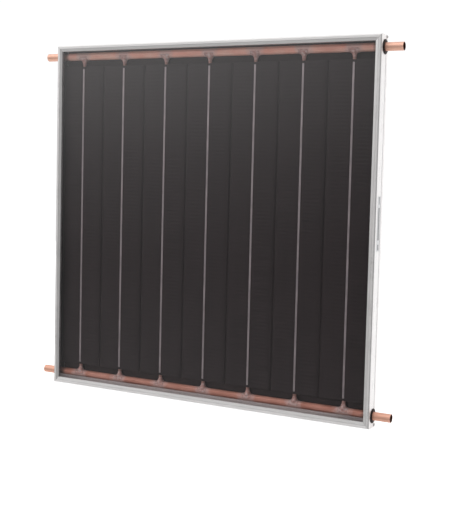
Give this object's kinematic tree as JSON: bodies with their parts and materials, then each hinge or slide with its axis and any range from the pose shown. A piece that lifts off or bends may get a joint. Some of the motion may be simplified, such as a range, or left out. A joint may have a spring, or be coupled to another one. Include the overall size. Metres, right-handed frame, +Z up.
{
  "type": "flat plate solar water collector",
  "caption": "Square glazed flat-plate solar water collector: aluminium box, black finned absorber on copper risers, and copper header pipes whose stubs pass through rubber grommets.",
  "frame": {"origin": "middle of the bottom edge, halfway through the depth", "axes": "+X along the header pipes to the right seen from the glass side, +Y from the glass to the back, +Z up the risers"},
  "size_m": [1.1, 0.048, 1],
  "materials": {
    "frame_aluminium": "satin",
    "bead_aluminium": "satin",
    "gasket_foam": "matte",
    "foil_facing": "satin",
    "copper_riser": "satin",
    "absorber_coating": "satin",
    "copper_header": "satin",
    "brazed_copper": "matte",
    "grommet_rubber": "matte",
    "glass": "gloss",
    "seam_metal": "satin",
    "insulation_wool": "matte",
    "black_veil": "matte",
    "back_aluminium": "satin",
    "rivet_aluminium": "satin",
    "key_aluminium": "satin",
    "screw_steel": "satin",
    "label_film": "matte"
  },
  "bodies": {
    "root": {"frame_left": "frame_aluminium", "frame_right": "frame_aluminium", "frame_top": "frame_aluminium", "frame_bottom": "frame_aluminium", "glazing_bead_left": "bead_aluminium", "glazing_bead_right": "bead_aluminium", "glazing_bead_top": "bead_aluminium", "glazing_bead_bottom": "bead_aluminium", "glass_gasket_left": "gasket_foam", "glass_gasket_right": "gasket_foam", "glass_gasket_top": "gasket_foam", "glass_gasket_bottom": "gasket_foam", "side_insulation_top": "foil_facing", "side_insulation_bottom": "foil_facing", "riser_1": "copper_riser", "riser_2": "copper_riser", "riser_3": "copper_riser", "riser_4": "copper_riser", "riser_5": "copper_riser", "riser_6": "copper_riser", "riser_7": "copper_riser", "fin_1": "absorber_coating", "fin_2": "absorber_coating", "fin_3": "absorber_coating", "fin_4": "absorber_coating", "fin_5": "absorber_coating", "fin_6": "absorber_coating", "fin_7": "absorber_coating", "header_top": "copper_header", "header_bottom": "copper_header", "riser_saddles_top": "brazed_copper", "riser_saddles_bottom": "brazed_copper", "grommet_top_left": "grommet_rubber", "grommet_top_right": "grommet_rubber", "grommet_bottom_left": "grommet_rubber", "grommet_bottom_right": "grommet_rubber", "glass_cover": "glass", "weld_seams": "seam_metal", "insulation_board": "insulation_wool", "insulation_facing": "black_veil", "side_insulation_left": "black_veil", "side_insulation_right": "black_veil", "back_sheet": "back_aluminium", "back_rivets": "rivet_aluminium", "corner_keys": "key_aluminium", "corner_screws": "screw_steel", "rating_label": "label_film"}
  },
  "joints": []
}
